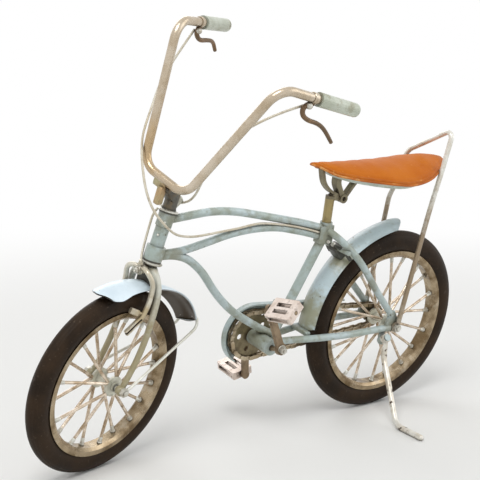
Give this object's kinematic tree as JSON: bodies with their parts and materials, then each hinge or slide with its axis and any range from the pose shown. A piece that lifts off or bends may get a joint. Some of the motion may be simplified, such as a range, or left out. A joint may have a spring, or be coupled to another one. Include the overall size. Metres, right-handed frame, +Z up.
{
  "type": "toy high-rise bicycle",
  "caption": "Small metal model of a high-rise bicycle with a long seat and tall handlebar, leaning on its side stand; wheels, steering, cranks, pedals and stand all move.",
  "frame": {"origin": "centre of the bounding box at the ground", "axes": "+X towards the front wheel, +Y to the left side, +Z up"},
  "size_m": [0.2588, 0.106, 0.2043],
  "materials": {
    "blue_paint": "worn satin",
    "tyre": "soft sheen",
    "bright_metal": "satin",
    "tarnished_metal": "tarnished satin",
    "tan_seat": "satin",
    "dark_metal": "satin",
    "copper": "satin",
    "cable": "satin"
  },
  "bodies": {
    "frame": {"head_tube": "blue_paint", "top_tube": "blue_paint", "cantilever_tube": "blue_paint", "down_tube": "blue_paint", "seat_tube": "blue_paint", "seat_cluster": "blue_paint", "bottom_bracket": "blue_paint", "left_chain_stay": "blue_paint", "left_seat_stay": "blue_paint", "right_chain_stay": "blue_paint", "right_seat_stay": "blue_paint", "guard_bridge": "blue_paint", "rear_axle": "tarnished_metal", "rear_mudguard": "blue_paint", "seat_post": "tarnished_metal", "saddle_bracket": "tarnished_metal", "saddle_pan": "tarnished_metal", "saddle": "tan_seat", "back_bar": "tarnished_metal", "chain": "tarnished_metal", "chain_guard": "blue_paint", "stand_bracket": "tarnished_metal", "frame_cable": "cable"},
    "steering": {"fork": "blue_paint", "headset_rings": "tarnished_metal", "front_axle": "tarnished_metal", "stem": "dark_metal", "handlebar": "tarnished_metal", "left_grip": "tarnished_metal", "right_grip": "tarnished_metal", "left_lever": "copper", "right_lever": "copper", "front_brake": "tarnished_metal", "front_mudguard": "blue_paint", "left_guard_stay": "tarnished_metal", "right_guard_stay": "tarnished_metal", "front_brake_cable": "cable", "bar_cable": "cable"},
    "front_wheel": {"front_tyre": "tyre", "front_rim": "bright_metal", "front_hub": "bright_metal", "front_spokes": "bright_metal"},
    "rear_wheel": {"rear_tyre": "tyre", "rear_rim": "bright_metal", "rear_hub": "bright_metal", "rear_spokes": "bright_metal", "rear_sprocket": "tarnished_metal"},
    "crank": {"chainwheel": "tarnished_metal", "left_crank": "tarnished_metal", "right_crank": "tarnished_metal"},
    "left_pedal": {"left_pedal": "tarnished_metal"},
    "right_pedal": {"right_pedal": "tarnished_metal"},
    "side_stand": {"side_stand": "tarnished_metal"}
  },
  "joints": [
    {"name": "steering", "type": "hinge", "parent": "frame", "child": "steering", "pos_m": [0.06794, -0.00838, 0.09737], "axis": [-0.257, 0.1893, 0.9477], "range_deg": [-56, 24]},
    {"name": "front_wheel_spin", "type": "hinge", "parent": "steering", "child": "front_wheel", "pos_m": [0.08685, -0.01814, 0.04264], "axis": [-0.2667, 0.9286, -0.2578], "continuous": true},
    {"name": "rear_wheel_spin", "type": "hinge", "parent": "frame", "child": "rear_wheel", "pos_m": [-0.07938, -0.01808, 0.04911], "axis": [-0.0004, 0.9806, -0.196], "continuous": true},
    {"name": "crank_spin", "type": "hinge", "parent": "frame", "child": "crank", "pos_m": [0.00132, -0.01808, 0.04895], "axis": [-0.0004, 0.9806, -0.196], "continuous": true},
    {"name": "left_pedal_spin", "type": "hinge", "parent": "crank", "child": "left_pedal", "pos_m": [0.00817, -0.00158, 0.06872], "axis": [-0.142, 0.989, 0.0407], "continuous": true},
    {"name": "right_pedal_spin", "type": "hinge", "parent": "crank", "child": "right_pedal", "pos_m": [-0.00201, -0.03562, 0.02699], "axis": [-0.0004, 0.9806, -0.196], "continuous": true},
    {"name": "stand_fold", "type": "hinge", "parent": "frame", "child": "side_stand", "pos_m": [-0.07149, -0.00564, 0.04192], "axis": [0.1028, 0.8923, 0.4396], "range_deg": [0, 84]}
  ]
}
